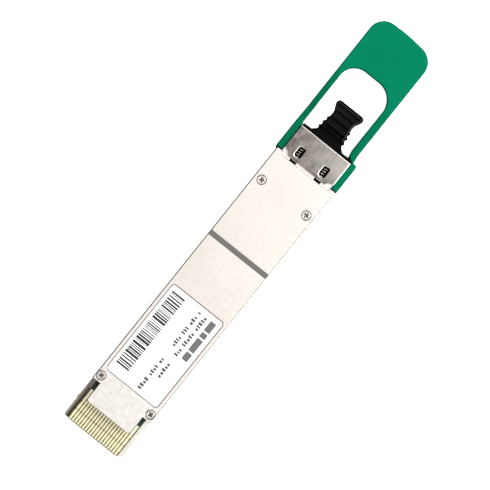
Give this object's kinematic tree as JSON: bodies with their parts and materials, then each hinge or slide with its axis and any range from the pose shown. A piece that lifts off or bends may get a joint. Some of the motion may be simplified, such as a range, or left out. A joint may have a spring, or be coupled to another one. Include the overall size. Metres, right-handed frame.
{
  "type": "optical transceiver module",
  "caption": "Long flat pluggable optical transceiver with a gold card edge, metal shells, spring-loaded pull-tab latch, parallel-fibre port and black dust plug.",
  "frame": {"origin": "centre of the circuit card's mating edge, at the card's mid-thickness", "axes": "+Y from the mating edge to the pull tab (out of the host cage), +Z to the label side, +X completes a right-handed frame"},
  "size_m": [0.0192, 0.1283, 0.0086],
  "materials": {
    "shell_metal": "satin nickel plate on die-cast zinc",
    "latch_steel": "bright rolled stainless sheet",
    "screw_steel": "plated cross-recess screws",
    "spring_steel": "drawn spring wire",
    "label_film": null,
    "strip_fabric": "grey conductive tape",
    "gasket_elastomer": "conductive elastomer",
    "board_laminate": "dark green solder mask",
    "contact_gold": "hard gold plate",
    "chip_black": "moulded package",
    "chip_silicon": "polished silicon",
    "thermal_pad": "soft gap filler",
    "ceramic_tan": "sintered ceramic",
    "laser_metal": "gold plated package",
    "glass_block": "polished glass",
    "fibre_ribbon": "acrylate ribbon matrix",
    "ferrule_polymer": "glass-filled polymer",
    "receptacle_polymer": "moulded polymer",
    "carrier_metal": "machined plate",
    "tab_green": "soft-touch green elastomer",
    "plug_black": "black soft plastic"
  },
  "bodies": {
    "module": {"base_shell": "shell_metal", "top_cover": "shell_metal", "cover_screws": "screw_steel", "product_label": "label_film", "gasket_strip": "strip_fabric", "emi_seam_cords": "gasket_elastomer", "card_emi_foam": "gasket_elastomer", "circuit_board": "board_laminate", "contact_pads_top": "contact_gold", "contact_pads_bottom": "contact_gold", "signal_processor": "chip_black", "processor_thermal_pad": "thermal_pad", "microcontroller": "chip_black", "clock_oscillator": "laser_metal", "configuration_memory": "chip_black", "power_inductors": "chip_black", "voltage_regulators": "chip_black", "ceramic_capacitors": "ceramic_tan", "coupling_capacitors": "ceramic_tan", "engine_thermal_pad": "thermal_pad", "engine_carrier": "carrier_metal", "photonic_chip": "chip_silicon", "modulator_driver": "chip_silicon", "receiver_amplifier": "chip_silicon", "photodiode_array": "chip_silicon", "laser_packages": "laser_metal", "optical_isolator": "glass_block", "receiver_lens_array": "glass_block", "tx_fibre_array": "glass_block", "rx_fibre_array": "glass_block", "tx_fibre_ribbon": "fibre_ribbon", "rx_fibre_ribbon": "fibre_ribbon", "mt_ferrule": "ferrule_polymer", "fibre_boot": "ferrule_polymer", "ferrule_guide_pins": "spring_steel", "guide_pin_clamp": "latch_steel", "ferrule_retainer": "latch_steel", "port_receptacle": "receptacle_polymer", "return_spring_left": "spring_steel", "return_spring_right": "spring_steel"},
    "latch_slide": {"latch_bracket": "latch_steel", "pull_tab": "tab_green"},
    "port_dust_plug": {"dust_plug": "plug_black"}
  },
  "joints": [
    {"name": "latch_pull", "type": "slide", "parent": "module", "child": "latch_slide", "axis": [0, 1, 0], "range_m": [0, 0.0023], "stiffness_N_per_m": 1000, "springref_m": -0.0006, "deforming": ["return_spring_left", "return_spring_right"]},
    {"name": "dust_plug_pull", "type": "slide", "parent": "module", "child": "port_dust_plug", "axis": [0, 1, 0], "range_m": [0, 0.012]}
  ]
}
